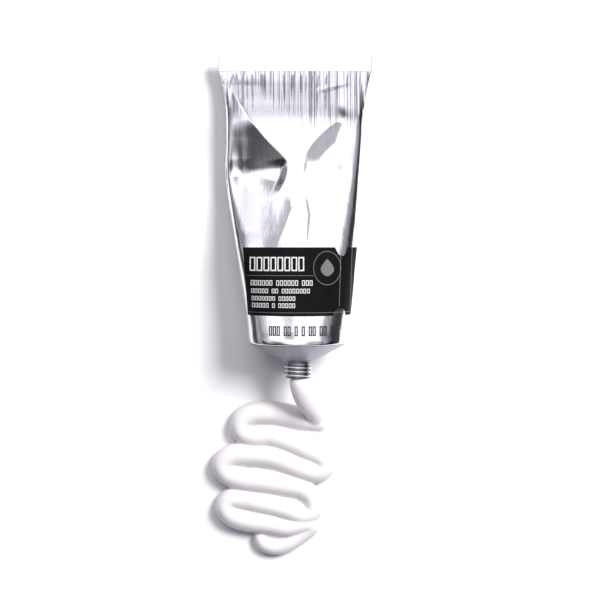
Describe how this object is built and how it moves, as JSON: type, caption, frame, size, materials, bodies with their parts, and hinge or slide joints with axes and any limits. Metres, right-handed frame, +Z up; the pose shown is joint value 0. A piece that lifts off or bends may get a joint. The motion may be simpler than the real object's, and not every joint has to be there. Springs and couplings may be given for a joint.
{
  "type": "shaving cream tube",
  "caption": "Collapsible bare aluminium tube lying open on its back, with a wrap label, a threaded neck, a folded end and a swirl of squeezed cream.",
  "frame": {"origin": "on the table, under the neck's axis, in the plane of the shoulder's edge", "axes": "+Z up from the table the tube lies on; the neck points along -Y and the folded end lies towards +Y; +X is to the right when seen from above with the folded end away from the viewer"},
  "size_m": [0.067, 0.203, 0.04],
  "materials": {
    "foil": "bright, longitudinally drawn",
    "cast_aluminium": "matte, fine grain",
    "lacquer": "clear gold film",
    "cream": "soft, slightly glossy cream",
    "label_film": "matte black",
    "latex": "matte",
    "print_white": "matte ink"
  },
  "bodies": {
    "tube": {"shoulder_neck": "cast_aluminium", "tube_body": "foil", "inner_lacquer": "lacquer", "cream_fill": "cream", "front_label": "label_film"},
    "end": {"end_fold": "foil", "end_seal": "latex"},
    "cream": {"squeezed_cream": "cream"}
  },
  "joints": [
    {"name": "end_bend", "type": "hinge", "parent": "tube", "child": "end", "pos_m": [-0.0012, 0.109, 0.009], "axis": [1, 0, 0], "range_deg": [-60, 90]},
    {"name": "cream_pull", "type": "slide", "parent": "tube", "child": "cream", "axis": [0, -1, 0], "range_m": [0, 0.03]}
  ]
}
